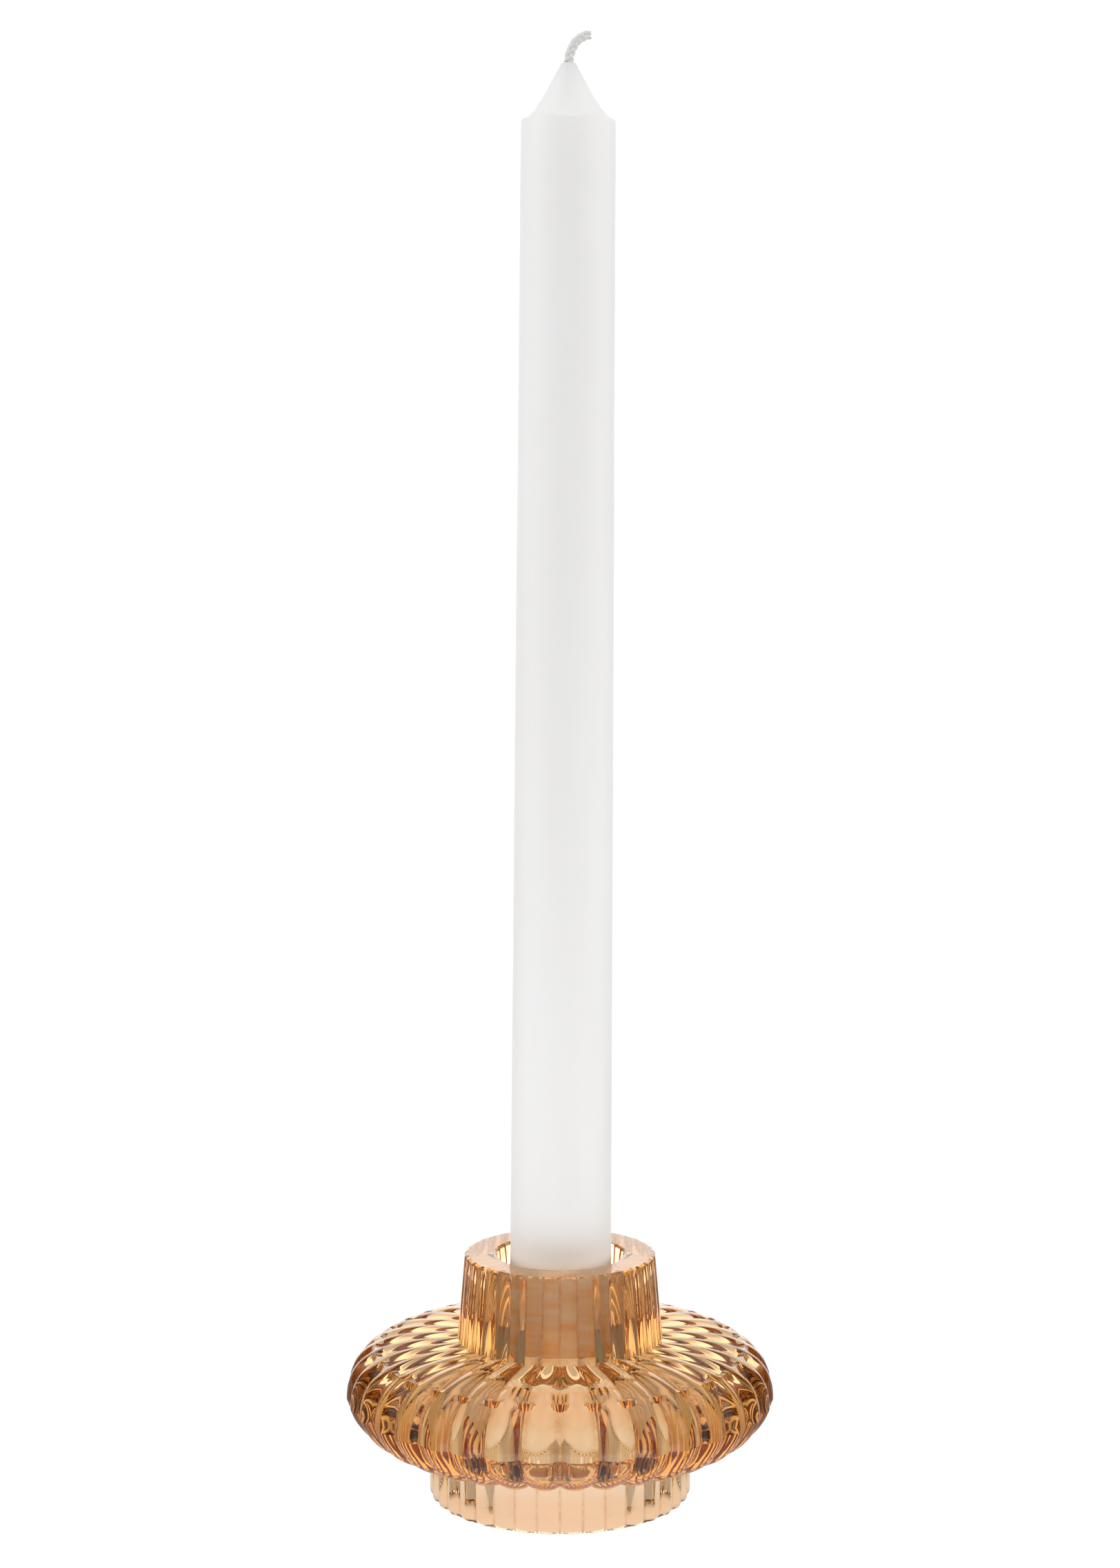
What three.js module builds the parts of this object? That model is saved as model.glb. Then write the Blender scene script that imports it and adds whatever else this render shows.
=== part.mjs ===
// Pressed-glass candlestick with a dinner candle standing in its socket.
// Millimetres, +Z up. The origin is the centre of the foot's resting ring, and -Y is the front.
import * as THREE from 'three';

// ---------- driving dimensions ----------

// glass holder, outside, over the crests of its ribs
const holderHeight = 53.6;
const footRadius = 28.6;
const footTop = 11.4;            // height at which the foot runs out into the saucer's underside
const footEdgeRound = 1.2;
const saucerRadius = 46.8;
const saucerWidestHeight = 22.6;
const saucerTop = 35.1;          // height at which the saucer meets the collar
const collarBaseRadius = 22.5;
const collarTopRadius = 20.9;
const rimBevel = 0.5;

// pressed ribs, the same count all the way from the foot to the collar
const ribCount = 36;
const footRibDepth = 0.7;
const saucerRibDepth = 1.2;      // at the widest ring, and less towards the axis as the ribs get narrower
const collarRibDepth = 0.5;

// candle socket in the top, a blind tapered hole in which the candle wedges
const socketMouthRadius = 13.9;
const socketFloorRadius = 11;
const socketDepth = 22.5;
const socketEdgeRound = 0.9;
const socketFloorRound = 1.5;

// tea-light well in the underside, so that the holder can be used either way up
const wellRadius = 20.5;
const wellDepth = 20;
const wellDraft = 0.5;           // how much the well narrows from its mouth to its ceiling
const wellCornerRound = 1.5;

// candle
const candleBaseRadius = 11.1;
const candleBaseBevel = 0.6;
const candleShoulderRadius = 10;
const candleShoulderHeight = 263;  // from the candle's base to its shoulder
const candleShoulderWidth = 1;     // the flat ledge round the foot of the tip
const candleTipLength = 11.7;      // the hollow-sided cone above the shoulder
const candleTipRadius = 2.2;
const candleLean = 0.38;           // degrees, to +X: it never stands quite straight in a tapered socket

// wick
const wickRadius = 1.2;
const wickFreeLength = 8;

// clearances
const candleSideClearance = 0.3;   // candle to the socket's wall where it wedges
const candleSeatClearance = 0.3;   // candle to the socket's floor, where it is too thin to wedge
const wickClearance = 0.3;         // wick to the hole through the wax

// ---------- values that follow from them ----------

const socketFloor = holderHeight - socketDepth;
const wickHoleRadius = wickRadius + wickClearance;

// The candle goes down until the tapered socket is only a clearance wider than its base.
const socketTaper = (socketMouthRadius - socketFloorRadius) / socketDepth;
const wedgeHeight = socketFloor + (candleBaseRadius + candleSideClearance - socketFloorRadius) / socketTaper;
const candleBase = Math.max(wedgeHeight - candleBaseBevel, socketFloor + candleSeatClearance);

// ---------- shape helpers ----------

const at = (r, z) => new THREE.Vector2(r, z);

// Points of a round corner between the directions of its two neighbours.
function roundCorner(before, corner, after, radius, steps) {
  const back = new THREE.Vector2().subVectors(before, corner).normalize();
  const on = new THREE.Vector2().subVectors(after, corner).normalize();
  const reach = radius / Math.tan(Math.acos(back.dot(on)) / 2);
  const start = corner.clone().addScaledVector(back, reach);
  const end = corner.clone().addScaledVector(on, reach);
  return new THREE.QuadraticBezierCurve(start, corner, end).getPoints(steps);
}

// A quarter of a superellipse from a level start to an upright end.
function swell(start, end, outwardPower, heightPower, steps) {
  const points = [];
  for (let i = 0; i <= steps; i++) {
    const turn = (i / steps) * Math.PI / 2;
    points.push(at(
      start.x + (end.x - start.x) * Math.sin(turn) ** outwardPower,
      end.y + (start.y - end.y) * Math.cos(turn) ** heightPower,
    ));
  }
  return points;
}

// A closed body turned about +Z from profile points that start and end on the axis.
function turned(points, segments) {
  return new THREE.LatheGeometry(points, segments).rotateX(Math.PI / 2);
}

function named(name, geometry, look) {
  const mesh = new THREE.Mesh(geometry, new THREE.MeshStandardMaterial({ metalness: 0, ...look }));
  mesh.name = name;
  return mesh;
}

// ---------- glass holder ----------

// The profile runs from the well's ceiling on the axis, down and out under the foot, up the
// outside to the rim, and down the socket to its floor on the axis. Each point carries the depth
// of the grooves between the ribs there, which is 0 on the smooth inside.
function holderProfile() {
  const profile = [];
  const add = (points, ribDepth) => {
    for (const point of points) {
      profile.push({ point, ribDepth: typeof ribDepth === 'number' ? ribDepth : ribDepth(point) });
    }
  };

  const wellCeiling = at(0, wellDepth);
  const wellCorner = at(wellRadius - wellDraft, wellDepth);
  const wellMouth = at(wellRadius, 0);
  add([wellCeiling], 0);
  add(roundCorner(wellCeiling, wellCorner, wellMouth, wellCornerRound, 3), 0);
  add([wellMouth], 0);

  const footCorner = at(footRadius, 0);
  const footWallTop = at(footRadius, footTop);
  const footEdge = roundCorner(wellMouth, footCorner, footWallTop, footEdgeRound, 3);
  add(footEdge.slice(0, 1), 0);
  add([...footEdge.slice(1), footWallTop], footRibDepth);

  const widest = at(saucerRadius, saucerWidestHeight);
  const collarFoot = at(collarBaseRadius, saucerTop);
  const underside = swell(footWallTop, widest, 0.92, 1.16, 8);
  const top = swell(collarFoot, widest, 0.65, 0.97, 9);
  const narrowing = (point) => saucerRibDepth * point.x / saucerRadius;
  add(underside.slice(1), narrowing);
  add(top.slice(1, -1).reverse(), narrowing);
  add([collarFoot, at(collarTopRadius, holderHeight - rimBevel)], collarRibDepth);

  const rimEdge = at(collarTopRadius - rimBevel - collarRibDepth, holderHeight);
  const mouth = at(socketMouthRadius, holderHeight);
  const floorCorner = at(socketFloorRadius, socketFloor);
  const floorCentre = at(0, socketFloor);
  add([rimEdge], 0);
  add(roundCorner(rimEdge, mouth, floorCorner, socketEdgeRound, 3), 0);
  add(roundCorner(mouth, floorCorner, floorCentre, socketFloorRound, 3), 0);
  add([floorCentre], 0);
  return profile;
}

// Each rib is a convex flute: its crest keeps the profile, and the surface falls away from it,
// square to the profile, by the square of the distance to the sharp grooves on both sides.
function makeHolder() {
  const stepsPerRib = 4;
  const profile = holderProfile();
  const geometry = turned(profile.map((p) => p.point), ribCount * stepsPerRib);
  const { position, normal } = geometry.attributes;
  for (let i = 0; i < position.count; i++) {
    const slice = Math.floor(i / profile.length);
    const fromCrest = 2 * (slice % stepsPerRib) / stepsPerRib - 1;
    const fall = profile[i % profile.length].ribDepth * fromCrest ** 2;
    position.setXYZ(
      i,
      position.getX(i) - normal.getX(i) * fall,
      position.getY(i) - normal.getY(i) * fall,
      position.getZ(i) - normal.getZ(i) * fall,
    );
  }
  return named('glass_holder', geometry, {
    color: 0xe39a5c, roughness: 0.05, transparent: true, opacity: 0.45,
  });
}

// ---------- candle ----------

// The wax is a long, slightly tapered round bar with a hollow-sided tip, and the wick's hole runs
// through it from end to end. Its own origin is the middle of its base.
function makeWax() {
  const candleLength = candleShoulderHeight + candleTipLength;
  const tip = new THREE.QuadraticBezierCurve(
    at(candleShoulderRadius - candleShoulderWidth, candleShoulderHeight),
    at(candleTipRadius + candleShoulderWidth, candleShoulderHeight + candleTipLength / 4),
    at(candleTipRadius, candleLength),
  );
  const outline = [
    at(wickHoleRadius, 0),
    at(candleBaseRadius - candleBaseBevel, 0),
    at(candleBaseRadius, candleBaseBevel),
    at(candleShoulderRadius, candleShoulderHeight),
    ...tip.getPoints(6),
    at(wickHoleRadius, candleLength),
    at(wickHoleRadius, 0),
  ];
  return named('candle_wax', turned(outline, 48), { color: 0xf2efe9, roughness: 0.5 });
}

// The braided cotton wick runs up the middle of the wax, stands straight for a little, and its
// free end leans over to +X.
function wickRoute() {
  const top = candleShoulderHeight + candleTipLength;
  const held = new THREE.Vector3(0, 0, top);
  const route = new THREE.CurvePath();
  route.add(new THREE.LineCurve3(new THREE.Vector3(0, 0, 0), held));
  route.add(new THREE.CubicBezierCurve3(
    held,
    new THREE.Vector3(0, 0, top + 0.25 * wickFreeLength),
    new THREE.Vector3(0.25 * wickFreeLength, 0, top + 0.65 * wickFreeLength),
    new THREE.Vector3(0.6 * wickFreeLength, 0, top + 0.72 * wickFreeLength),
  ));
  return route;
}

function makeWick() {
  const sides = 8;
  const section = new THREE.Shape();
  for (let i = 0; i < sides; i++) {
    const turn = (i / sides) * 2 * Math.PI;
    section[i === 0 ? 'moveTo' : 'lineTo'](wickRadius * Math.cos(turn), wickRadius * Math.sin(turn));
  }
  section.closePath();
  const geometry = new THREE.ExtrudeGeometry(section, { steps: 80, extrudePath: wickRoute() });
  return named('wick', geometry, { color: 0xf4f0e6, roughness: 0.9 });
}

function makeCandle() {
  const candle = new THREE.Group();
  candle.add(makeWax(), makeWick());
  candle.position.set(0, 0, candleBase);
  candle.rotation.y = THREE.MathUtils.degToRad(candleLean);
  return candle;
}

// ---------- assembly ----------

const candlestick = new THREE.Group();
candlestick.add(makeHolder(), makeCandle());

export default candlestick;
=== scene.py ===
# %% [markdown]
# # A candlestick of ribbed amber glass
# The object has three pieces: a low holder of pressed glass, the wax of a dinner candle, and the
# braided wick. The CAD model gives their places and sizes. Here each one is modelled again with
# the shape and the finish of the real piece. Blender works in metres, in the CAD model's frame:
# +Z is up, the front faces -Y, and the origin is the middle of the foot. The sizes of the pieces
# are written in millimetres and multiplied by MM, and the camera, the table and the lights are
# placed in metres.

# %% Load the CAD frame
import math

import bpy
import numpy as np
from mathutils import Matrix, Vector


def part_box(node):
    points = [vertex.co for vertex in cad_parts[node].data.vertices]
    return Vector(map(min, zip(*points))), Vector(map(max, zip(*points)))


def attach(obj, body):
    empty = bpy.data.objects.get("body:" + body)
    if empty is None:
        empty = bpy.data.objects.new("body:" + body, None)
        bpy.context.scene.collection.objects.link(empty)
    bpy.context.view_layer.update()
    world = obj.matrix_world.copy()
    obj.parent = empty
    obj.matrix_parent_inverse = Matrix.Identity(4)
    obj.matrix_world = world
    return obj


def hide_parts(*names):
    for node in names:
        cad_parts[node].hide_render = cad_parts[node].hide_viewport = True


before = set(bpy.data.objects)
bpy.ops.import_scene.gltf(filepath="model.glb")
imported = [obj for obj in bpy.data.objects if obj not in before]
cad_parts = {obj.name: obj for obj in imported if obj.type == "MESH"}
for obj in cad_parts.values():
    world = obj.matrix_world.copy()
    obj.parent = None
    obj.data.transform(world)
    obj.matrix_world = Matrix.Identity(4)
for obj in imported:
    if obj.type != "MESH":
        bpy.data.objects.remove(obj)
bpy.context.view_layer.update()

MM = 0.001
holder_box, wax_box, wick_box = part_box("glass_holder"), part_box("candle_wax"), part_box("wick")

# %% [markdown]
# ## The camera
# A tall narrow object is best seen from a little above its middle, from far enough away that its
# two sides stay parallel. The camera stands straight in front and looks down a little, so that the
# rim of the glass shows as a thin ellipse. It comes first, because every later choice is judged
# through it.

# %% Camera
LENS, SENSOR = 69.66, 36
CAMERA_AWAY, CAMERA_UP, LOOK_DOWN = 0.647, 0.231, 6.56
camera_data = bpy.data.cameras.new("front_camera")
camera_data.lens = LENS
camera_data.sensor_width = SENSOR
camera = bpy.data.objects.new("front_camera", camera_data)
camera.location = (0, -CAMERA_AWAY, CAMERA_UP)
camera.rotation_euler = (math.radians(90 - LOOK_DOWN), 0, 0)
bpy.context.scene.collection.objects.link(camera)
bpy.context.scene.camera = camera
print("camera", tuple(round(x, 3) for x in camera.location), "lens", camera_data.lens)

# %% [markdown]
# ## The table
# The object stands on a plain white table that runs out of sight. Product tables are lit until
# they burn out to pure white, so the eye sees plain white here. What matters more is what the
# glass bends towards the eye, because clear glass only shows its surroundings. The table is bright
# in front of the object and behind it, and dim at the left and right. Real glass also gathers
# light and throws it, coloured, on the table inside its foot. Tracing that is slow and noisy, so
# the table gives off a coloured glow of its own there instead. The Light Path node tells what the
# eye sees from what the glass sees.

# %% White table
TABLE_SIZE, TABLE_WHITE = 6.0, 0.25
TABLE_SIDES, TABLE_STRIP, TABLE_MIDDLE, TABLE_NEAR = 0.03, 1.7, 0.65, 0.35
STRIP_INSIDE, STRIP_OUTSIDE = 60, 200              # from the axis, mm
INSIDE_BLUR, OUTSIDE_BLUR = 0.1, 0.2               # shares of those two
STRIP_EDGE, STRIP_FULL = 44, 30                    # degrees from the line from front to back
NEAR_WITHIN, DIM_FROM = 45, 75                     # from the axis, mm
GLOW_R, GLOW_FADE_OUT, GLOW_FADE_IN = 25, 3, 2     # mm
GLOW_FRONT, GLOW_BACK = (0.84, 0.64, 0.50, 1), (0.86, 0.80, 0.76, 1)
GLOW_TURNS_FROM, GLOW_TURNS_TO = -8, 16            # along Y, mm
TABLE_TO_EYE = 1.05
bpy.ops.object.select_all(action="DESELECT")
bpy.ops.mesh.primitive_plane_add(size=TABLE_SIZE, location=(0, 0, 0))
table = bpy.context.object
table.name = "white_table"

table_white = bpy.data.materials.new("white_table")
table_white.use_nodes = True
nodes, links = table_white.node_tree.nodes, table_white.node_tree.links
matt = nodes["Principled BSDF"]
matt.inputs["Base Color"].default_value = (TABLE_WHITE, TABLE_WHITE, TABLE_WHITE, 1)
matt.inputs["Roughness"].default_value = 1
matt.inputs["Specular IOR Level"].default_value = 0
matt.inputs["Emission Strength"].default_value = 1


def ramp_between(output, start, end, low=0.0, high=1.0):
    """A value that goes smoothly from low to high as another goes from start to end."""
    ramp = nodes.new("ShaderNodeMapRange")
    ramp.interpolation_type = "SMOOTHSTEP"
    if start > end:
        start, end, low, high = end, start, high, low
    for name, value in (("From Min", start), ("From Max", end), ("To Min", low), ("To Max", high)):
        ramp.inputs[name].default_value = value
    links.new(output, ramp.inputs["Value"])
    return ramp.outputs["Result"]


def calculate(kind, *values):
    """A Math node on outputs and numbers."""
    node = nodes.new("ShaderNodeMath")
    node.operation = kind
    for socket, value in zip(node.inputs, values):
        if isinstance(value, (int, float)):
            socket.default_value = value
        else:
            links.new(value, socket)
    return node.outputs["Value"]


def blend(kind, factor, a, b):
    """A Mix node between two outputs or plain values."""
    node = nodes.new("ShaderNodeMix")
    node.data_type = kind
    links.new(factor, node.inputs["Factor"])
    sockets = [s for s in node.inputs if s.name in "AB" and s.enabled]
    for socket, value in zip(sockets, (a, b)):
        if isinstance(value, bpy.types.NodeSocket):
            links.new(value, socket)
        else:
            socket.default_value = value
    return next(s for s in node.outputs if s.enabled)


place = nodes.new("ShaderNodeTexCoord")
parts = nodes.new("ShaderNodeSeparateXYZ")
links.new(place.outputs["Object"], parts.inputs["Vector"])
from_axis = nodes.new("ShaderNodeVectorMath")
from_axis.operation = "LENGTH"
links.new(place.outputs["Object"], from_axis.inputs[0])
radius = from_axis.outputs["Value"]
straight_on = calculate("ABSOLUTE", calculate("DIVIDE", parts.outputs["Y"], radius))
in_line = ramp_between(straight_on, math.cos(math.radians(STRIP_EDGE)),
                       math.cos(math.radians(STRIP_FULL)))
past_inside = ramp_between(radius, (1 - INSIDE_BLUR) * STRIP_INSIDE * MM,
                           (1 + INSIDE_BLUR) * STRIP_INSIDE * MM)
short_of_outside = ramp_between(radius, (1 + OUTSIDE_BLUR) * STRIP_OUTSIDE * MM,
                                (1 - OUTSIDE_BLUR) * STRIP_OUTSIDE * MM)
in_strip = calculate("MULTIPLY", past_inside, short_of_outside)
added = calculate("MULTIPLY", in_strip, TABLE_STRIP - TABLE_MIDDLE)
front_to_back = calculate("ADD", TABLE_MIDDLE, added)
beside = ramp_between(radius, DIM_FROM * MM, NEAR_WITHIN * MM, TABLE_SIDES, TABLE_NEAR)
difference = calculate("SUBTRACT", front_to_back, beside)
glow = calculate("ADD", beside, calculate("MULTIPLY", in_line, difference))
towards_back = ramp_between(parts.outputs["Y"], GLOW_TURNS_FROM * MM, GLOW_TURNS_TO * MM)
gathered = blend("RGBA", towards_back, GLOW_FRONT, GLOW_BACK)
under_glass = ramp_between(radius, (GLOW_R + GLOW_FADE_OUT) * MM, (GLOW_R - GLOW_FADE_IN) * MM)
light = blend("RGBA", under_glass, glow, gathered)
links.new(light, matt.inputs["Emission Color"])

white_to_eye = nodes.new("ShaderNodeEmission")
white_to_eye.inputs["Strength"].default_value = TABLE_TO_EYE
ray_kind = nodes.new("ShaderNodeLightPath")
either = nodes.new("ShaderNodeMixShader")
links.new(ray_kind.outputs["Is Camera Ray"], either.inputs["Fac"])
links.new(matt.outputs["BSDF"], either.inputs[1])
links.new(white_to_eye.outputs["Emission"], either.inputs[2])
links.new(either.outputs["Shader"], nodes["Material Output"].inputs["Surface"])
table.data.materials.append(table_white)
print("table", TABLE_SIZE, "m square, glowing", TABLE_STRIP, "in its strips,", TABLE_SIDES, "beside")

# %% [markdown]
# ## The studio
# What is seen in clear glass is mostly the room behind, bent by the ribs. So a studio lights the
# background and keeps the sides dark, and the edges of the glass then draw themselves as brown
# lines. The world colour does both jobs, by direction: a bright wall behind, a bright ceiling, a
# softly lit room towards the front, and dark sides. The eye itself sees plain white wherever it
# looks past the object.

# %% World
WALL, CEILING, ROOM, SIDES = 1.7, 1.2, 0.7, 0.04
WALL_PATCH, CEILING_PATCH, ROOM_PATCH = (25, 12), (30, 20), (40, 30)   # half width, softness; degrees
WORLD_TO_EYE = 1.1
world = bpy.data.worlds.new("studio")
bpy.context.scene.world = world
world.use_nodes = True
nodes, links = world.node_tree.nodes, world.node_tree.links
direction = nodes.new("ShaderNodeTexCoord")


def lit_patch(axis, strength, half_width, softness):
    """The brightness above the sides' own of a soft-edged round patch of wall around an axis."""
    towards = nodes.new("ShaderNodeVectorMath")
    towards.operation = "DOT_PRODUCT"
    towards.inputs[1].default_value = axis
    links.new(direction.outputs["Generated"], towards.inputs[0])
    edge, full = math.cos(math.radians(half_width + softness)), math.cos(math.radians(half_width))
    return ramp_between(towards.outputs["Value"], edge, full, 0, strength - SIDES)


wall = lit_patch((0, 1, 0), WALL, *WALL_PATCH)
ceiling = lit_patch((0, 0, 1), CEILING, *CEILING_PATCH)
room = lit_patch((0, -1, 0), ROOM, *ROOM_PATCH)
brightest = calculate("MAXIMUM", wall, calculate("MAXIMUM", ceiling, room))
around = calculate("ADD", brightest, SIDES)
ray_kind = nodes.new("ShaderNodeLightPath")
seen = blend("FLOAT", ray_kind.outputs["Is Camera Ray"], around, WORLD_TO_EYE)
backdrop = nodes["Background"]
backdrop.inputs["Color"].default_value = (1, 1, 1, 1)
links.new(seen, backdrop.inputs["Strength"])
bpy.context.scene.view_settings.view_transform = "Standard"
print("world: wall", WALL, "ceiling", CEILING, "room", ROOM, "sides", SIDES)

# %% [markdown]
# Light that enters pressed glass goes from wall to wall many times before it leaves. A path that
# is cut short there gives a black fleck, so the longest path is raised above the default.

# %% Depth of the light's path
LONGEST_PATH = 16
paths = bpy.context.scene.cycles
paths.max_bounces = paths.glossy_bounces = paths.transmission_bounces = LONGEST_PATH
print("light may turn", LONGEST_PATH, "times")

# %% [markdown]
# Two soft boxes at the front and two beside the object light the candle. Wax under such light is
# a little lighter at its edges than in the middle. The boxes beside it would also wash out the
# dark edges of the glass, so they light surfaces but are hidden from what the glass shows. No real
# lamp can do that, and it is the price of lighting wax and glass apart in one scene.

# %% Soft boxes
FRONT_LIGHT, FRONT_SIZE, FRONT_AIM = 0.75, 0.9, (0, 0, 0.15)
SIDE_LIGHTS, SIDE_SIZE, SIDE_AIM = {"left": 2.6, "right": 2.5}, 1.2, (0, 0, 0.18)
SIDE_OUT, SIDE_BACK, SIDE_UP = 1.2, 0.15, 0.3


def soft_box(name, place, aim, size, radiance):
    """A square area light. Its power follows from how bright its face looks."""
    data = bpy.data.lights.new(name, "AREA")
    data.size = size
    data.energy = radiance * math.pi * size * size
    light = bpy.data.objects.new(name, data)
    light.location = place
    light.rotation_euler = (Vector(aim) - Vector(place)).to_track_quat("-Z", "Y").to_euler()
    bpy.context.scene.collection.objects.link(light)
    print(name, "power", round(data.energy, 2), "W")
    return light


soft_box("left_soft_box", (-1.0, -0.8, 0.7), FRONT_AIM, FRONT_SIZE, FRONT_LIGHT)
soft_box("right_soft_box", (1.0, -0.8, 0.6), FRONT_AIM, FRONT_SIZE, FRONT_LIGHT)
for side, radiance in SIDE_LIGHTS.items():
    place = (-SIDE_OUT if side == "left" else SIDE_OUT, SIDE_BACK, SIDE_UP)
    side_box = soft_box(side + "_side_box", place, SIDE_AIM, SIDE_SIZE, radiance)
    side_box.visible_glossy = side_box.visible_transmission = False

# %% [markdown]
# ## Tools for turned pieces
# Glass is pressed in a round mould and a dinner candle is cast in one, so both shapes are turned
# profiles. A profile could be a curve object with a Screw modifier. Drawing it point by point
# with Extrude keeps its points where they are wanted, and Spin then turns it. Both work on what
# is selected, so everything is deselected before a new piece is begun.

# %% Draw a profile


def begin_point(name, place):
    """A mesh of one vertex: a plane whose corners are merged, moved to its place."""
    bpy.ops.object.select_all(action="DESELECT")
    bpy.ops.mesh.primitive_plane_add(size=0.01, location=(0, 0, 0))
    piece = bpy.context.object
    piece.name = piece.data.name = name
    bpy.ops.object.mode_set(mode="EDIT")
    bpy.ops.mesh.select_all(action="SELECT")
    bpy.ops.mesh.merge(type="CENTER")
    bpy.ops.transform.translate(value=place)
    return piece


def draw_profile(name, profile):
    """Extrudes a vertex along profile points (radius, height) in mm. It stays in edit mode."""
    (r, z), *rest = profile
    piece = begin_point(name, (r * MM, 0, z * MM))
    for r_next, z_next in rest:
        step = ((r_next - r) * MM, 0, (z_next - z) * MM)
        bpy.ops.mesh.extrude_vertices_move(TRANSFORM_OT_translate={"value": step})
        r, z = r_next, z_next
    print(name, "profile of", len(profile), "points")
    return piece


def smooth(start, leave, arrive, end, steps):
    """Points on a cubic curve between two ends, given its two handles, as (radius, height)."""
    a, b, c, d = (np.array(p, float) for p in (start, leave, arrive, end))
    t = np.linspace(0, 1, steps + 1)[:, None]
    curve = (1 - t) ** 3 * a + 3 * (1 - t) ** 2 * t * b + 3 * (1 - t) * t**2 * c + t**3 * d
    return [tuple(p) for p in curve]


def rounded(before, corner, after, radius, steps):
    """Points of a round corner between the directions of its two neighbours."""
    before, corner, after = (np.array(p, float) for p in (before, corner, after))
    back, on = before - corner, after - corner
    back, on = back / np.linalg.norm(back), on / np.linalg.norm(on)
    reach = radius / math.tan(math.acos(back @ on) / 2)
    start, end = corner + back * reach, corner + on * reach
    t = np.linspace(0, 1, steps + 1)[:, None]
    return [tuple(p) for p in (1 - t) ** 2 * start + 2 * t * (1 - t) * corner + t**2 * end]


def straight(start, end, steps):
    """Points on a line, without its start."""
    t = np.linspace(0, 1, steps + 1)[1:, None]
    return [tuple(p) for p in (1 - t) * np.array(start, float) + t * np.array(end, float)]


print("a round corner of 3 steps has", len(rounded((0, 0), (1, 0), (1, 1), 0.5, 3)), "points")

# %% [markdown]
# ## The glass: its profile
# The holder is one piece of glass. Its outside goes up the foot, out under the saucer, over the
# widest ring, in across the top and up the collar. At the widest ring the wall changes direction
# sharply, which draws a crisp line round the saucer. The inside is smooth: a tea-light well in
# the foot, and a tapered candle socket in the top. Each point carries the depth of the grooves
# between the ribs at that place.

# %% Holder profile
FOOT_R, FOOT_TOP, WIDEST_R, WIDEST_Z = 28.6, 11.4, 46.75, 22.0
COLLAR_FOOT_R, SAUCER_TOP, COLLAR_TOP_R, RIM_Z = 22.5, 35.1, 20.9, 53.6
SOCKET_R, SOCKET_FLOOR_R, SOCKET_FLOOR_Z = 13.9, 11.0, 31.1
WELL_R, WELL_CEILING_R, WELL_CEILING_Z = 20.5, 20.0, 20.0
WELL_CORNER, FOOT_EDGE, SOCKET_EDGE, SOCKET_CORNER = 1.5, 1.2, 1.0, 1.5
FOOT_GROOVE, SAUCER_GROOVE, COLLAR_GROOVE, RIM_BEVEL = 0.7, 1.3, 0.5, 0.6


def saucer_groove(r):
    """The ribs narrow towards the axis, and their grooves get shallower with them."""
    return SAUCER_GROOVE * r / WIDEST_R


well = [(0, WELL_CEILING_Z)]
well += rounded((0, WELL_CEILING_Z), (WELL_CEILING_R, WELL_CEILING_Z), (WELL_R, 0), WELL_CORNER, 5)
well += straight(well[-1], (WELL_R, 0), 3)
foot = rounded((WELL_R, 0), (FOOT_R, 0), (FOOT_R, FOOT_TOP), FOOT_EDGE, 4)
foot += straight(foot[-1], (FOOT_R, FOOT_TOP), 6)
underside = smooth((FOOT_R, FOOT_TOP), (38.3, 11.4), (44.5, 15.5), (WIDEST_R, WIDEST_Z), 16)
top = smooth((WIDEST_R, WIDEST_Z), (46.8, 32.5), (38.1, 35.1), (COLLAR_FOOT_R, SAUCER_TOP), 22)
collar = straight(top[-1], (COLLAR_TOP_R, RIM_Z - RIM_BEVEL), 7)
rim = [(COLLAR_TOP_R - RIM_BEVEL / 3, RIM_Z - RIM_BEVEL / 3), (COLLAR_TOP_R - RIM_BEVEL - 0.3, RIM_Z)]
floor_corner, floor_middle = (SOCKET_FLOOR_R, SOCKET_FLOOR_Z), (0, SOCKET_FLOOR_Z)
socket = rounded(rim[-1], (SOCKET_R, RIM_Z), floor_corner, SOCKET_EDGE, 5)
wall_foot = rounded(socket[-1], floor_corner, floor_middle, SOCKET_CORNER, 5)
socket += straight(socket[-1], wall_foot[0], 8) + wall_foot[1:] + [floor_middle]

holder_profile = [(p, 0) for p in well]
holder_profile += [(foot[0], 0)] + [(p, FOOT_GROOVE) for p in foot[1:]]
holder_profile += [(p, saucer_groove(p[0])) for p in underside[1:] + top[1:]]
holder_profile += [(p, COLLAR_GROOVE) for p in collar] + [(rim[0], COLLAR_GROOVE / 2), (rim[1], 0)]
holder_profile += [(p, 0) for p in socket]
print("holder profile:", len(holder_profile), "points")

# %% [markdown]
# ## The glass: one rib
# The ribs are all alike, so only one is modelled. The profile is spun through the angle of one
# rib, with one spare column on each side. Each rib is a convex flute with a sharp groove on both
# sides. The spare columns give the edge vertices true normals, and are deleted afterwards.

# %% Rib
RIBS, STEPS = 36, 18
RIB_ANGLE = 2 * math.pi / RIBS
STEP_ANGLE = RIB_ANGLE / STEPS
FRONT = -math.pi / 2
GROOVE_SOFTNESS = 0.1
SPIN_LEFT_TO_RIGHT = (0, 0, -1)


def fall(across):
    """How far the surface has sunk, 0 to 1, at a place across a rib: 0 its crest, 1 its grooves."""
    across = abs(across)
    if across > 1:
        across = 2 - across
    edge = 1 - GROOVE_SOFTNESS
    if across <= edge:
        return across**2
    past = across - edge
    return edge**2 + 2 * edge * (past - past**2 / (2 * GROOVE_SOFTNESS))


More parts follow.
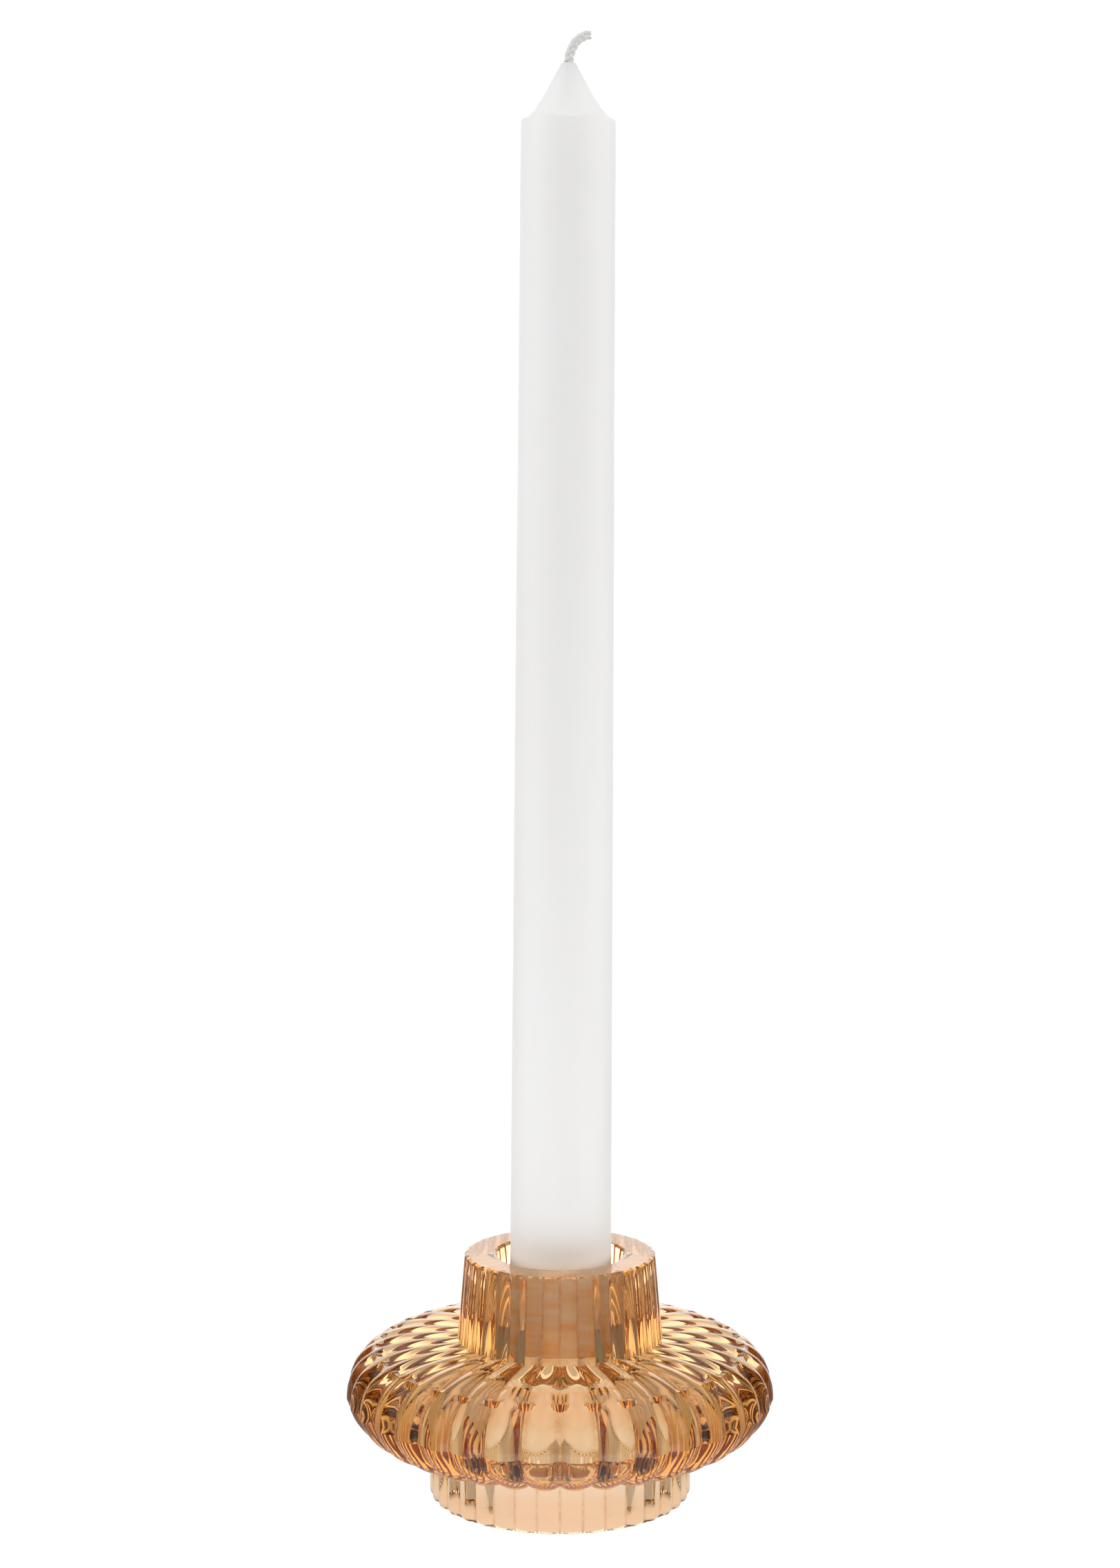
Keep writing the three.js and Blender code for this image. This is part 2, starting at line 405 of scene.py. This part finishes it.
holder = draw_profile("ribbed_glass_holder", [p for p, _ in holder_profile])
bpy.ops.mesh.select_all(action="SELECT")
bpy.ops.transform.rotate(value=-(FRONT - STEP_ANGLE), orient_axis="Z", center_override=(0, 0, 0))
bpy.ops.mesh.select_all(action="SELECT")
bpy.ops.mesh.spin(steps=STEPS + 2, angle=STEP_ANGLE * (STEPS + 2), center=(0, 0, 0),
                  axis=SPIN_LEFT_TO_RIGHT)
bpy.ops.mesh.select_all(action="SELECT")
bpy.ops.mesh.flip_normals()
bpy.ops.object.mode_set(mode="OBJECT")
print("one rib with spare columns:", len(holder.data.polygons), "faces")

# %% [markdown]
# The spun rib is still smooth, and its grooves are sunk into it now. They could be cut with a
# boolean, but that leaves ragged faces. A vertex group says instead how far each vertex sinks:
# nothing on the crest, and the full depth in the grooves, by the square of the distance between.
# The Displace modifier then sinks them along their normals, so that a groove on the level top is
# cut straight down and one on the upright foot straight in.

# %% Grooves
groove_at = {(round(p[0], 3), round(p[1], 3)): depth for p, depth in holder_profile}
deepest = max(groove_at.values())
grooves = holder.vertex_groups.new(name="grooves")
spare = []
for v in holder.data.vertices:
    turn = math.atan2(v.co.y, v.co.x) - FRONT
    place = (round(v.co.xy.length / MM, 3), round(v.co.z / MM, 3))
    depth = groove_at.get(place, 0)
    if depth:
        grooves.add([v.index], depth / deepest * fall(2 * turn / RIB_ANGLE - 1), "REPLACE")
    beyond = min(turn, RIB_ANGLE - turn) < -STEP_ANGLE / 2
    on_axis = place[0] <= 0.01
    if beyond and not on_axis:
        spare.append(v.index)

sink = holder.modifiers.new("sink_grooves", "DISPLACE")
sink.vertex_group = "grooves"
sink.mid_level = 0
sink.strength = -deepest * MM
bpy.ops.object.modifier_apply(modifier=sink.name)
print("grooves sunk by up to", round(deepest, 2), "mm;", len(spare), "spare vertices")

# %% [markdown]
# The spare columns go, and the finished rib is copied round the axis with Spin's duplicates.
# Merging by distance then closes the seams between the copies and the two poles on the axis, and
# the normals are made to point out of the glass.

# %% Whole ring
MERGE_WITHIN = 0.002


def select_vertices(piece, indices):
    """Selects just these vertices, in edit mode."""
    bpy.ops.object.mode_set(mode="EDIT")
    bpy.ops.mesh.select_mode(type="VERT")
    bpy.ops.mesh.select_all(action="DESELECT")
    bpy.ops.object.mode_set(mode="OBJECT")
    for i in indices:
        piece.data.vertices[i].select = True
    bpy.ops.object.mode_set(mode="EDIT")


def close_shell(piece, smooth_angle):
    """Merges seams and poles, turns faces outwards, and shades smooth up to an angle."""
    bpy.ops.mesh.select_all(action="SELECT")
    bpy.ops.mesh.remove_doubles(threshold=MERGE_WITHIN * MM)
    bpy.ops.mesh.normals_make_consistent(inside=False)
    bpy.ops.object.mode_set(mode="OBJECT")
    bpy.ops.object.shade_smooth_by_angle(angle=math.radians(smooth_angle))
    print(piece.name, "has", len(piece.data.vertices), "vertices,", len(piece.data.polygons), "faces")


select_vertices(holder, spare)
bpy.ops.mesh.delete(type="VERT")
bpy.ops.mesh.select_all(action="SELECT")
bpy.ops.mesh.spin(steps=RIBS - 1, angle=RIB_ANGLE * (RIBS - 1), dupli=True, center=(0, 0, 0),
                  axis=SPIN_LEFT_TO_RIGHT)
close_shell(holder, 14)

# %% [markdown]
# Hot glass never takes the mould's surface perfectly, so it is slightly wavy. The waves are small,
# but glass bends light at every one of them, and they break up the hard picture of the candle. A
# Displace modifier with a cloud texture makes them on each wall. They are highest in the socket,
# where they still have to stay lower than the gap between the candle and the glass. The same pass
# marks the outer skin, the socket's wall and the bottoms of the grooves with an attribute each,
# which the glass material reads.

# %% Waves in the glass
WAVES = {"socket": (4.0, 0.45), "well": (6.0, 0.1), "outside": (7.0, 0.06)}   # size, height; mm
GROOVE_LINE, WIDE_GROOVE_LINE = 0.8, 0.6   # where a groove's line begins, as a share of half a rib
SOCKET_LIMIT_R, SOCKET_LIMIT_SLOPE = SOCKET_R + 0.6, 0.02
WELL_LIMIT_R, FLOOR_MARGIN, FLAT_WITHIN = WELL_R + 0.3, 0.5, 0.05


def wall_of(co):
    """Which wall of the glass a place lies on."""
    r, z = co.xy.length / MM, co.z / MM
    if z > SOCKET_FLOOR_Z - FLOOR_MARGIN and r < SOCKET_LIMIT_R + SOCKET_LIMIT_SLOPE * (z - RIM_Z):
        return "socket"
    if z < WELL_CEILING_Z + FLOOR_MARGIN and r < WELL_LIMIT_R:
        return "well"
    return "outside"


def groove_line(co):
    """1 along the bottom of each groove, and 0 over most of a rib."""
    turn = (math.atan2(co.y, co.x) - FRONT) % RIB_ANGLE
    across = abs(2 * turn / RIB_ANGLE - 1)
    out = max(0, (co.xy.length / MM - FOOT_R) / (WIDEST_R - FOOT_R))
    begin = GROOVE_LINE + (WIDE_GROOVE_LINE - GROOVE_LINE) * out
    return max(0, (across - begin) / (1 - begin))


# The groove and socket marks say where the glass material paints shade. The outer skin's mark carries
# its thin tint.
MARKS = ("outer_skin", "socket_shade_mask", "groove_shade_mask")
for mark in MARKS:
    holder.data.attributes.new(mark, "FLOAT", "POINT")
skin, socket_shade_mask, groove_shade_mask = (holder.data.attributes[mark] for mark in MARKS)
walls = {name: holder.vertex_groups.new(name=name) for name in WAVES}
for v in holder.data.vertices:
    wall = wall_of(v.co)
    skin.data[v.index].value = wall == "outside"
    socket_shade_mask.data[v.index].value = wall == "socket" and v.co.z > SOCKET_FLOOR_Z * MM
    groove_shade_mask.data[v.index].value = groove_line(v.co) if wall == "outside" else 0
    flat_rest = v.co.z < FLAT_WITHIN * MM or v.co.z > (RIM_Z - FLAT_WITHIN) * MM
    if not flat_rest:
        walls[wall].add([v.index], 1, "REPLACE")


def add_waves(piece, group, size, height):
    """Waves of a size and height in mm on one vertex group."""
    clouds = bpy.data.textures.new(group + "_waves", "CLOUDS")
    clouds.noise_scale = size * MM
    clouds.noise_depth = 1
    waves = piece.modifiers.new(group + "_waves", "DISPLACE")
    waves.texture = clouds
    waves.texture_coords = "LOCAL"
    waves.vertex_group = group
    waves.strength = height * MM
    waves.mid_level = 0.5
    bpy.ops.object.modifier_apply(modifier=waves.name)
    print("waves on", group, "up to", height / 2, "mm")


for wall, (size, height) in WAVES.items():
    add_waves(holder, wall, size, height)
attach(holder, "holder")
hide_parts("glass_holder")

# %% [markdown]
# ## A finish shared by all pieces
# No real surface is equally glossy all over: glass has been handled, wax has bloomed, cotton
# soaks up wax in places. A noise texture scaled into a narrow range gives that unevenness. It is
# wanted in three materials, so it is a node group with its size and range as inputs.

# %% Unevenness group
NOISE_DETAIL, NOISE_DARK, NOISE_LIGHT = 3, 0.3, 0.7   # most of the noise lies between the last two


def make_unevenness():
    group = bpy.data.node_groups.new("unevenness", "ShaderNodeTree")
    ends = group.interface
    ends.new_socket("Size mm", in_out="INPUT", socket_type="NodeSocketFloat").default_value = 5
    ends.new_socket("Stretch", in_out="INPUT", socket_type="NodeSocketFloat").default_value = 1
    ends.new_socket("Low", in_out="INPUT", socket_type="NodeSocketFloat")
    ends.new_socket("High", in_out="INPUT", socket_type="NodeSocketFloat").default_value = 1
    ends.new_socket("Value", in_out="OUTPUT", socket_type="NodeSocketFloat")
    nodes, links = group.nodes, group.links
    given, made = nodes.new("NodeGroupInput"), nodes.new("NodeGroupOutput")
    place = nodes.new("ShaderNodeTexCoord")
    squeeze = nodes.new("ShaderNodeCombineXYZ")
    per_size = nodes.new("ShaderNodeMath")
    per_size.operation = "DIVIDE"
    per_size.inputs[0].default_value = 1 / MM
    links.new(given.outputs["Size mm"], per_size.inputs[1])
    upright = nodes.new("ShaderNodeMath")
    upright.operation = "DIVIDE"
    links.new(per_size.outputs["Value"], upright.inputs[0])
    links.new(given.outputs["Stretch"], upright.inputs[1])
    links.new(per_size.outputs["Value"], squeeze.inputs["X"])
    links.new(per_size.outputs["Value"], squeeze.inputs["Y"])
    links.new(upright.outputs["Value"], squeeze.inputs["Z"])
    scaled = nodes.new("ShaderNodeVectorMath")
    scaled.operation = "MULTIPLY"
    links.new(place.outputs["Object"], scaled.inputs[0])
    links.new(squeeze.outputs["Vector"], scaled.inputs[1])
    noise = nodes.new("ShaderNodeTexNoise")
    noise.inputs["Scale"].default_value = 1
    noise.inputs["Detail"].default_value = NOISE_DETAIL
    links.new(scaled.outputs["Vector"], noise.inputs["Vector"])
    fit = nodes.new("ShaderNodeMapRange")
    fit.inputs["From Min"].default_value = NOISE_DARK
    fit.inputs["From Max"].default_value = NOISE_LIGHT
    links.new(noise.outputs["Fac"], fit.inputs["Value"])
    links.new(given.outputs["Low"], fit.inputs["To Min"])
    links.new(given.outputs["High"], fit.inputs["To Max"])
    links.new(fit.outputs["Result"], made.inputs["Value"])
    return group


unevenness = make_unevenness()
print("group", unevenness.name, "inputs:", [s.name for s in unevenness.interface.items_tree])


def uneven(tree, size, stretch, low, high):
    """Places the group in a material with its own values, and returns its output."""
    node = tree.nodes.new("ShaderNodeGroup")
    node.node_tree = unevenness
    for name, value in (("Size mm", size), ("Stretch", stretch), ("Low", low), ("High", high)):
        node.inputs[name].default_value = value
    return node.outputs["Value"]


# %% [markdown]
# ## Amber glass
# Amber glass absorbs some blue and green, so thick places go deeper orange. A Volume Absorption
# node does that. On its own it makes thin and thick places differ too much, so a thin tint lies on
# the outer skin as well, which light crosses going in and coming out. That is the Base Color. Two
# deeper tints are painted shade, standing in for light that is lost in the real glass: one along
# the bottoms of the grooves, and a mottled one on the socket's wall. The surface is fire polished,
# so its roughness stays near nothing.

# %% Glass material
GLASS_IOR = 1.5
SKIN_TINT = (0.99, 0.86, 0.72, 1)
# The groove and socket colours are painted shade, not the colour of the glass.
GROOVE_PAINTED_SHADE = (0.62, 0.32, 0.12, 1)
SOCKET_PAINTED_SHADE = (0.98, 0.50, 0.12, 1)
ABSORB_PER_MM = (0.0050, 0.0140, 0.0300)
glass = bpy.data.materials.new("amber_glass")
glass.use_nodes = True
tree = glass.node_tree
shader = tree.nodes["Principled BSDF"]
shader.inputs["Transmission Weight"].default_value = 1
shader.inputs["IOR"].default_value = GLASS_IOR
polish = uneven(tree, size=9, stretch=1, low=0.0, high=0.02)
tree.links.new(polish, shader.inputs["Roughness"])


def tint_and_shade_layer(before, attribute, tint, strength):
    """Lays a tint over a colour where an attribute says so, as strongly as a value says. It also lays
    the painted shades.
    """
    where = tree.nodes.new("ShaderNodeAttribute")
    where.attribute_name = attribute
    amount = tree.nodes.new("ShaderNodeMath")
    amount.operation = "MULTIPLY"
    tree.links.new(where.outputs["Fac"], amount.inputs[0])
    tree.links.new(strength, amount.inputs[1])
    layer = tree.nodes.new("ShaderNodeMix")
    layer.data_type = "RGBA"
    layer.clamp_factor = False
    tree.links.new(amount.outputs["Value"], layer.inputs["Factor"])
    layer.inputs["B"].default_value = tint
    if isinstance(before, tuple):
        layer.inputs["A"].default_value = before
    else:
        tree.links.new(before, layer.inputs["A"])
    return next(s for s in layer.outputs if s.enabled)


even_skin = uneven(tree, size=12, stretch=1, low=0.9, high=1.1)
colour = tint_and_shade_layer((1, 1, 1, 1), "outer_skin", SKIN_TINT, even_skin)
# Painted shade: a dark brown along the bottoms of the grooves, broken up by noise.
broken_groove_shade = uneven(tree, size=1.5, stretch=1, low=0.2, high=1.0)
colour = tint_and_shade_layer(colour, "groove_shade_mask", GROOVE_PAINTED_SHADE, broken_groove_shade)
# Painted shade: a mottled deep orange on the socket's wall.
mottled_socket_shade = uneven(tree, size=1.2, stretch=1.6, low=0.0, high=1.1)
colour = tint_and_shade_layer(colour, "socket_shade_mask", SOCKET_PAINTED_SHADE, mottled_socket_shade)
tree.links.new(colour, shader.inputs["Base Color"])

strongest = max(ABSORB_PER_MM)
absorb = tree.nodes.new("ShaderNodeVolumeAbsorption")
absorb.inputs["Density"].default_value = strongest / MM
absorb.inputs["Color"].default_value = (*(1 - a / strongest for a in ABSORB_PER_MM), 1)
tree.links.new(absorb.outputs["Volume"], tree.nodes["Material Output"].inputs["Volume"])
holder.data.materials.clear()
holder.data.materials.append(glass)
print("glass absorbs per mm:", ABSORB_PER_MM)

# %% [markdown]
# ## The candle's wax
# A dinner candle is cast point down, so it tapers slightly towards its tip, and the tip is a cone
# with hollow sides on a narrow shoulder. It is turned from a profile, like the glass, but the
# profile also goes down the hole of the wick, so that the wick has room. At the top the wax
# creeps up the wick, so there the hole is as narrow as the wick.

# %% Wax shape
LEAN = 0.38
WAX_BASE_R, WAX_SHOULDER_R, SHOULDER_HEIGHT, TIP_LENGTH = 11.1, 10.0, 263.0, 11.5
HOLE_R, LIP_R, TIP_R, TIP_FOOT_R = 1.45, 1.2, 1.75, 9.45
BASE_ROUND, WAX_SIDES = 0.6, 96
base_z = wax_box[0].z / MM + WAX_BASE_R * math.sin(math.radians(LEAN))
shoulder = (WAX_SHOULDER_R, SHOULDER_HEIGHT)
wax_profile = [(HOLE_R, 0), (WAX_BASE_R - BASE_ROUND, 0)]
wax_profile += rounded((0, 0), (WAX_BASE_R, 0), shoulder, BASE_ROUND, 3)[1:]
wax_profile += straight(wax_profile[-1], (WAX_SHOULDER_R, SHOULDER_HEIGHT - 0.35), 24)
wax_profile += [(WAX_SHOULDER_R - 0.1, SHOULDER_HEIGHT - 0.08), (WAX_SHOULDER_R - 0.3, SHOULDER_HEIGHT)]
wax_profile += smooth((TIP_FOOT_R, SHOULDER_HEIGHT + 0.05), (6.9, SHOULDER_HEIGHT + 1.2),
                      (4.3, SHOULDER_HEIGHT + 6.6), (TIP_R, SHOULDER_HEIGHT + TIP_LENGTH - 0.35), 12)
wax_profile += [(TIP_R - 0.2, SHOULDER_HEIGHT + TIP_LENGTH), (LIP_R, SHOULDER_HEIGHT + TIP_LENGTH + 0.2)]
wax_profile += [(LIP_R, SHOULDER_HEIGHT + TIP_LENGTH - 1), (HOLE_R, SHOULDER_HEIGHT + TIP_LENGTH - 2)]
wax_profile += [(HOLE_R, 0)]

wax = draw_profile("candle_body", [(r, z + base_z) for r, z in wax_profile])
bpy.ops.mesh.select_all(action="SELECT")
bpy.ops.mesh.spin(steps=WAX_SIDES, angle=2 * math.pi, center=(0, 0, 0), axis=SPIN_LEFT_TO_RIGHT)
close_shell(wax, 25)

# %% [markdown]
# The candle never stands quite straight in a tapered socket: it leans a little to the right, about
# the middle of its base. The wax was poured, so its sides are not perfectly even either, and long
# shallow waves run up them. They begin above the glass, so that the candle still fits its socket.

# %% Lean and unevenness of the wax
EVEN_BELOW, WAVES_GROW_OVER, EVEN_TIP_R = RIM_Z + 5, 10, 2.5
WAX_WAVE_SIZE, WAX_WAVE = 45, 0.12


def lean(piece):
    """Tips a candle piece to the right about the middle of the candle's base."""
    bpy.ops.object.select_all(action="DESELECT")
    bpy.context.view_layer.objects.active = piece
    piece.select_set(True)
    bpy.ops.object.mode_set(mode="EDIT")
    bpy.ops.mesh.select_all(action="SELECT")
    bpy.ops.transform.rotate(value=-math.radians(LEAN), orient_axis="Y",
                             center_override=(0, 0, base_z * MM))
    bpy.ops.object.mode_set(mode="OBJECT")


poured = wax.vertex_groups.new(name="poured")
for v in wax.data.vertices:
    above = v.co.z / MM - EVEN_BELOW
    if above > 0 and v.co.xy.length > EVEN_TIP_R * MM:
        poured.add([v.index], min(1, above / WAVES_GROW_OVER), "REPLACE")
add_waves(wax, "poured", WAX_WAVE_SIZE, WAX_WAVE)
lean(wax)
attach(wax, "candle")
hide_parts("candle_wax")
print("leans out to", round(max(v.co.x for v in wax.data.vertices) / MM, 2),
      "mm; the CAD candle to", round(wax_box[1].x / MM, 2), "mm")

# %% [markdown]
# White wax is not paint. Light sinks a few millimetres into it and comes out again, which keeps
# its shaded side light, so it gets some subsurface scattering. Its bloom makes it satin, in long
# upright patches of two slightly different whites. Amber glass throws some of its colour on the
# wax just above the rim. That is painted on as a faint warm tint that fades upwards, so it also
# stays on the wax when the candle is lifted.

# %% Wax material
AMBER_LIGHT_TOP, AMBER_LIGHT_FALL, PAINTED_AMBER_LIGHT = 70, 2, (0.95, 0.86, 0.79, 1)
WAX_WHITE, WAX_CREAM = (0.93, 0.93, 0.925, 1), (0.90, 0.89, 0.875, 1)
WAX_IOR, WAX_SCATTER, SCATTER_DEPTH, SCATTER_TINT = 1.44, 0.35, 4, (1.0, 0.85, 0.75)
GRAIN_STRENGTH, GRAIN_DEPTH = 0.15, 0.05
wax_white = bpy.data.materials.new("white_wax")
wax_white.use_nodes = True
tree = wax_white.node_tree
shader = tree.nodes["Principled BSDF"]
shader.inputs["IOR"].default_value = WAX_IOR
shader.inputs["Subsurface Weight"].default_value = WAX_SCATTER
shader.inputs["Subsurface Radius"].default_value = SCATTER_TINT
shader.inputs["Subsurface Scale"].default_value = SCATTER_DEPTH * MM
bloom = uneven(tree, size=5, stretch=6, low=0.42, high=0.58)
tree.links.new(bloom, shader.inputs["Roughness"])
tone = tree.nodes.new("ShaderNodeMix")
tone.data_type = "RGBA"
tone.inputs["A"].default_value = WAX_WHITE
tone.inputs["B"].default_value = WAX_CREAM
tree.links.new(uneven(tree, size=12, stretch=8, low=0, high=1), tone.inputs["Factor"])
place = tree.nodes.new("ShaderNodeTexCoord")
parts = tree.nodes.new("ShaderNodeSeparateXYZ")
tree.links.new(place.outputs["Object"], parts.inputs["Vector"])
# Painted amber light: the glass's light on the wax is painted as a warm tint, strongest at the rim and
# fading upwards.
near_glass = tree.nodes.new("ShaderNodeMapRange")
near_glass.inputs["From Min"].default_value = AMBER_LIGHT_TOP * MM
near_glass.inputs["From Max"].default_value = RIM_Z * MM
tree.links.new(parts.outputs["Z"], near_glass.inputs["Value"])
faint_to_full = tree.nodes.new("ShaderNodeMath")
faint_to_full.operation = "POWER"
faint_to_full.inputs[1].default_value = AMBER_LIGHT_FALL
tree.links.new(near_glass.outputs["Result"], faint_to_full.inputs[0])
amber_light_painted = tree.nodes.new("ShaderNodeMix")
amber_light_painted.data_type = "RGBA"
amber_light_painted.inputs["B"].default_value = PAINTED_AMBER_LIGHT
tree.links.new(faint_to_full.outputs["Value"], amber_light_painted.inputs["Factor"])
tree.links.new(tone.outputs["Result"], amber_light_painted.inputs["A"])
tree.links.new(amber_light_painted.outputs["Result"], shader.inputs["Base Color"])
grain = tree.nodes.new("ShaderNodeBump")
grain.inputs["Strength"].default_value = GRAIN_STRENGTH
grain.inputs["Distance"].default_value = GRAIN_DEPTH * MM
tree.links.new(uneven(tree, size=0.8, stretch=10, low=0, high=1), grain.inputs["Height"])
tree.links.new(grain.outputs["Normal"], shader.inputs["Normal"])
wax.data.materials.clear()
wax.data.materials.append(wax_white)
print("wax tones:", WAX_WHITE[:3], "and", WAX_CREAM[:3])

# %% [markdown]
# ## The wick
# The wick is a plait of three cotton strands. They all follow one line: straight up through the
# wax, and then over to the right where the free end bends. That line is settled first, with a
# function that gives its place and direction at any distance along it.

# %% Wick line
WICK_TOP = SHOULDER_HEIGHT + TIP_LENGTH
WICK_STEP, PITCH, LOOK_BACK = 0.2, 4.2, 0.1
WICK_FOOT = wick_box[0].z / MM - base_z + 0.1   # just above the CAD wick's own foot
free_end = smooth((0, WICK_TOP), (0, WICK_TOP + 2.6), (1.3, WICK_TOP + 5.8), (4.7, WICK_TOP + 6.0), 200)
fine = [(0, WICK_FOOT)] + free_end
lengths = np.concatenate([[0], np.cumsum(np.linalg.norm(np.diff(np.array(fine), axis=0), axis=1))])
WICK_LENGTH = float(lengths[-1])


def wick_place(distance):
    """The place (x, z) and the direction of the wick's line at a distance from its foot."""
    at = [float(np.interp(distance, lengths, [p[k] for p in fine])) for k in (0, 1)]
    before = [float(np.interp(distance - LOOK_BACK, lengths, [p[k] for p in fine])) for k in (0, 1)]
    along = Vector((at[0] - before[0], 0, at[1] - before[1]))
    if distance == 0:
        along = Vector((0, 0, 1))
    return Vector((at[0], 0, at[1])), along.normalized()


print("wick length:", round(WICK_LENGTH, 1), "mm")

# %% [markdown]
# In a plait each strand swings from side to side once in a pitch and over or under the others
# twice, and the three do it a third of a pitch apart. Each strand is a round curve along such a
# path, made a mesh and joined with the other two. A twisted rope would be simpler, but a candle
# wick is plaited, and that shows in its bumpy outline.

# %% Plait of three strands
SWING, OVER, STRAND_R = 0.56, 0.3, 0.5
FRAY, FRAY_SPREAD, FRAY_THIN = 0.8, 0.5, 0.35   # length in mm, and shares at the very end
strands = []
for k in range(3):
    points = []
    for distance in np.arange(0, WICK_LENGTH, WICK_STEP):
        place, along = wick_place(distance)
        across = Vector((0, 1, 0)).cross(along)
        phase = 2 * math.pi * (distance / PITCH + k / 3)
        spread = 1 + FRAY_SPREAD * max(0, distance - WICK_LENGTH + FRAY) / FRAY
        side = SWING * spread * math.sin(phase)
        depth = OVER * math.sin(2 * phase)
        point = place + across * side + Vector((0, depth, 0)) + Vector((0, 0, base_z))
        taper = min(1, FRAY_THIN + (1 - FRAY_THIN) * (WICK_LENGTH - distance) / FRAY)
        points.append((point * MM, taper))
    curve = bpy.data.curves.new(f"strand_{k}", "CURVE")
    curve.dimensions = "3D"
    curve.bevel_depth = STRAND_R * MM
    curve.bevel_resolution = 1
    curve.use_fill_caps = True
    line = curve.splines.new("POLY")
    line.points.add(len(points) - 1)
    for p, (co, taper) in zip(line.points, points):
        p.co = (*co, 1)
        p.radius = taper
    strand = bpy.data.objects.new(f"strand_{k}", curve)
    bpy.context.scene.collection.objects.link(strand)
    strands.append(strand)

bpy.ops.object.select_all(action="DESELECT")
for strand in strands:
    strand.select_set(True)
bpy.context.view_layer.objects.active = strands[0]
bpy.ops.object.convert(target="MESH")
bpy.ops.object.join()
wick = bpy.context.object
wick.name = wick.data.name = "braided_wick"
bpy.ops.object.mode_set(mode="EDIT")
close_shell(wick, 60)
lean(wick)
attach(wick, "candle")
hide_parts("wick")
print("wick uv maps:", [m.name for m in wick.data.uv_layers])

# %% [markdown]
# Wick cotton is bleached and dipped in wax, so it is a warm white, matt, and slightly clotted.
# A noise squeezed to fine upright threads stands in for its fibres and gives their bump, and the
# same noise paints shade into the valleys between them.

# %% Cotton material
COTTON_VALLEY_SHADE, COTTON_LIGHT = (0.78, 0.775, 0.75, 1), (0.90, 0.895, 0.88, 1)
COTTON_SHEEN, THREAD_STRENGTH, THREAD_DEPTH = 0.2, 0.6, 0.08
cotton = bpy.data.materials.new("cotton_wick")
cotton.use_nodes = True
tree = cotton.node_tree
shader = tree.nodes["Principled BSDF"]
clotted = uneven(tree, size=1.5, stretch=1, low=0.65, high=0.95)
tree.links.new(clotted, shader.inputs["Roughness"])
shader.inputs["Sheen Weight"].default_value = COTTON_SHEEN
tone = tree.nodes.new("ShaderNodeMix")
tone.data_type = "RGBA"
# Painted shade: the darker colour lies in the valleys between the fibres, where their bump is lowest.
tone.inputs["A"].default_value = COTTON_VALLEY_SHADE
tone.inputs["B"].default_value = COTTON_LIGHT
fibres = uneven(tree, size=0.12, stretch=6, low=0, high=1)
tree.links.new(fibres, tone.inputs["Factor"])
tree.links.new(tone.outputs["Result"], shader.inputs["Base Color"])
threads = tree.nodes.new("ShaderNodeBump")
threads.inputs["Strength"].default_value = THREAD_STRENGTH
threads.inputs["Distance"].default_value = THREAD_DEPTH * MM
tree.links.new(fibres, threads.inputs["Height"])
tree.links.new(threads.outputs["Normal"], shader.inputs["Normal"])
wick.data.materials.clear()
wick.data.materials.append(cotton)
print("cotton on", len(wick.data.polygons), "faces")
